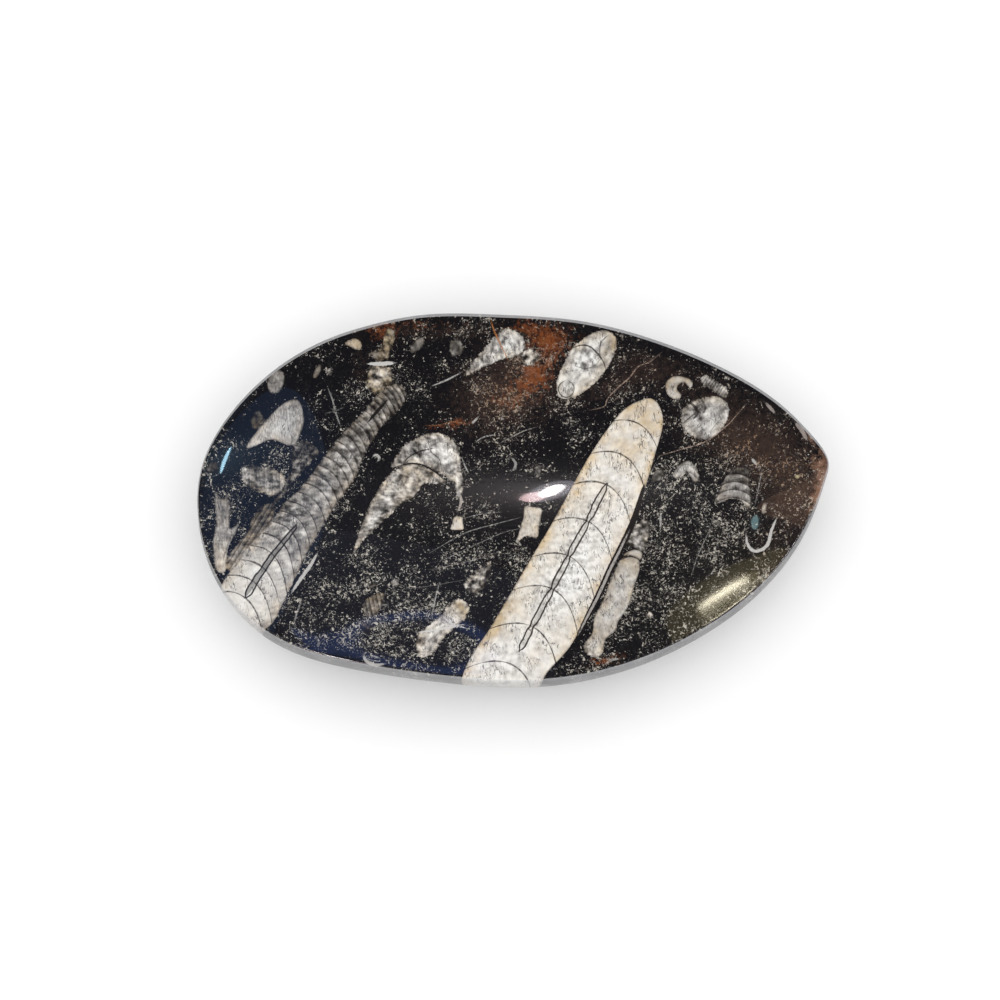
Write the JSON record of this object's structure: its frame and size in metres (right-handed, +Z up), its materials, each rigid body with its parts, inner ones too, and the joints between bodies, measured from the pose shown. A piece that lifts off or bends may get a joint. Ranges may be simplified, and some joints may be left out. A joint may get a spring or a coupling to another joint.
{
  "type": "orthoceras fossil dish",
  "caption": "Leaf-shaped shallow dish carved from one slab of polished black limestone, with pale orthocone fossils cut through in its hollow and a small flat base.",
  "frame": {"origin": "on the surface the dish rests on, under the middle of its bounding box", "axes": "+X along the dish towards the point of the leaf, +Y towards its steeper wall, +Z up out of the hollow"},
  "size_m": [0.15, 0.09, 0.022],
  "materials": {
    "limestone": "polished"
  },
  "bodies": {
    "root": {"dish": "limestone"}
  },
  "joints": []
}
